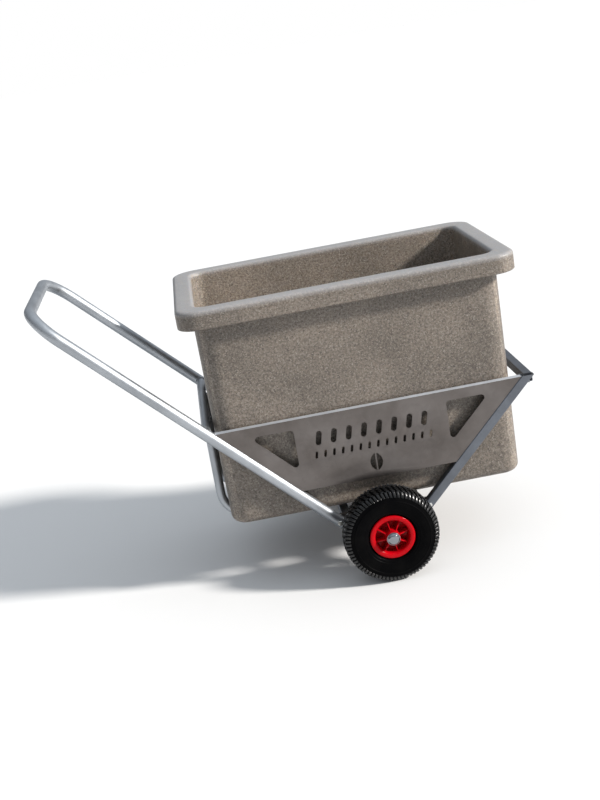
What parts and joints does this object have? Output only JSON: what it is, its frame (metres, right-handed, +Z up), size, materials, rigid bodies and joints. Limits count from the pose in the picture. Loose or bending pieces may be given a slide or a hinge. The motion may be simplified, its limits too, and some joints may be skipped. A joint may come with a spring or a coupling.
{
  "type": "wheelbarrow",
  "caption": "Two-wheeled cart with a deep rectangular planter tub standing in a galvanised tube and sheet cradle, pushed by a long U-shaped handle.",
  "frame": {"origin": "on the floor, under the middle of the cart's bounding box; the axle is 196.7 mm ahead of it", "axes": "+X to the front (the handle is at -X), +Y to the left, +Z up; the cart is the same on both sides of Y = 0"},
  "size_m": [1.2966, 0.807, 0.882],
  "materials": {
    "stone_plastic": "speckled stone-look polyethylene, matt",
    "galvanised": "galvanised tube, satin",
    "galvanised_sheet": "dull galvanised sheet",
    "zinc": "bright zinc plated",
    "chrome": "polished",
    "tyre": "matt black rubber",
    "butyl": "matt",
    "rim_plastic": "glossy red",
    "bush_plastic": "matt black",
    "brass": "satin"
  },
  "bodies": {
    "frame": {"handle_tube": "galvanised", "rear_bar": "galvanised", "front_bar": "galvanised", "member_rear": "galvanised", "member_front": "galvanised", "axle_rod": "zinc", "axle_spacers": "zinc", "axle_washers": "zinc", "axle_caps": "chrome", "bracket_bolts": "zinc", "bracket_nuts": "zinc", "strut_right": "galvanised", "cradle_tube_right": "galvanised", "side_plate_right": "galvanised_sheet", "axle_bracket_right": "galvanised_sheet", "strut_left": "galvanised", "cradle_tube_left": "galvanised", "side_plate_left": "galvanised_sheet", "axle_bracket_left": "galvanised_sheet"},
    "tub": {"planter_tub": "stone_plastic"},
    "wheel_right": {"tyre_right": "tyre", "inner_tube_right": "butyl", "rim_right": "rim_plastic", "bushes_right": "bush_plastic", "valve_stem_right": "brass", "valve_cap_right": "butyl"},
    "wheel_left": {"tyre_left": "tyre", "inner_tube_left": "butyl", "rim_left": "rim_plastic", "bushes_left": "bush_plastic", "valve_stem_left": "brass", "valve_cap_left": "butyl"}
  },
  "joints": [
    {"name": "tub_lift", "type": "slide", "parent": "frame", "child": "tub", "axis": [0, 0, 1], "range_m": [0, 0.4]},
    {"name": "wheel_spin_right", "type": "hinge", "parent": "frame", "child": "wheel_right", "pos_m": [0.19666, -0.348, 0.13], "axis": [0, 1, 0], "continuous": true},
    {"name": "wheel_spin_left", "type": "hinge", "parent": "frame", "child": "wheel_left", "pos_m": [0.19666, 0.348, 0.13], "axis": [0, 1, 0], "continuous": true}
  ]
}
